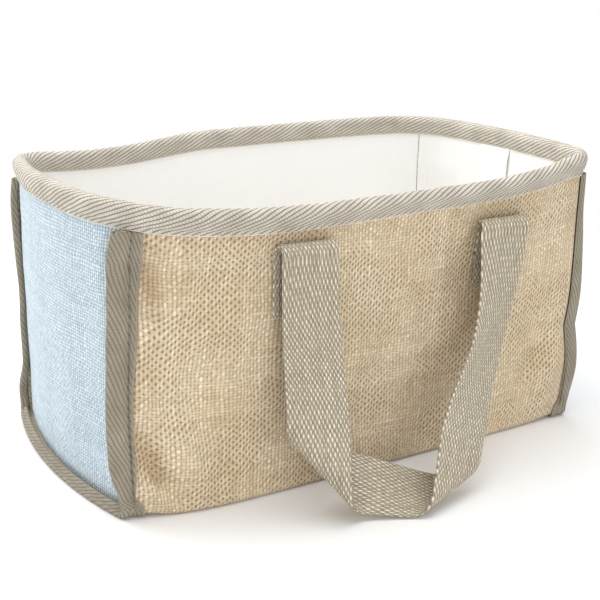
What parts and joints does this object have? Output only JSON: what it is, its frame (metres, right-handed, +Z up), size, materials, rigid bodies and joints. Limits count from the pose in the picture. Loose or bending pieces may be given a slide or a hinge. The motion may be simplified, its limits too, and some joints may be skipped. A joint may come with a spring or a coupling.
{
  "type": "fabric basket",
  "caption": "Open-topped oblong jute basket, lined with cotton, with taped seams and long webbing handles that hang in loops down its two sides.",
  "frame": {"origin": "on the floor under the middle of the basket, handles hanging", "axes": "+X along the basket towards the end with the care label, +Y towards the back, +Z up"},
  "size_m": [0.3644, 0.349, 0.1891],
  "materials": {
    "natural_jute": "coarse plain weave, dry and matte",
    "blue_jute": "coarse plain weave dyed pale blue, matte",
    "white_cotton": "fine plain weave, matte",
    "twill_tape": "diagonal twill ribs with a plain selvedge, matte",
    "cotton_webbing": "thick basket-weave webbing, matte"
  },
  "bodies": {
    "basket": {"jute_wrap": "natural_jute", "left_end_panel": "blue_jute", "right_end_panel": "blue_jute", "lining_wrap": "white_cotton", "lining_left_end": "white_cotton", "lining_right_end": "white_cotton", "rim_binding": "twill_tape", "left_end_binding": "twill_tape", "right_end_binding": "twill_tape", "front_handle_left_end": "cotton_webbing", "front_handle_right_end": "cotton_webbing", "back_handle_left_end": "cotton_webbing", "back_handle_right_end": "cotton_webbing", "care_label": "white_cotton"},
    "front_handle": {"front_handle": "cotton_webbing"},
    "back_handle": {"back_handle": "cotton_webbing"}
  },
  "joints": [
    {"name": "front_handle_fold", "type": "hinge", "parent": "basket", "child": "front_handle", "pos_m": [0, -0.11752, 0.151], "axis": [-1, 0, 0], "range_deg": [0, 160]},
    {"name": "back_handle_fold", "type": "hinge", "parent": "basket", "child": "back_handle", "pos_m": [0, 0.11752, 0.151], "axis": [1, 0, 0], "range_deg": [0, 160]}
  ]
}
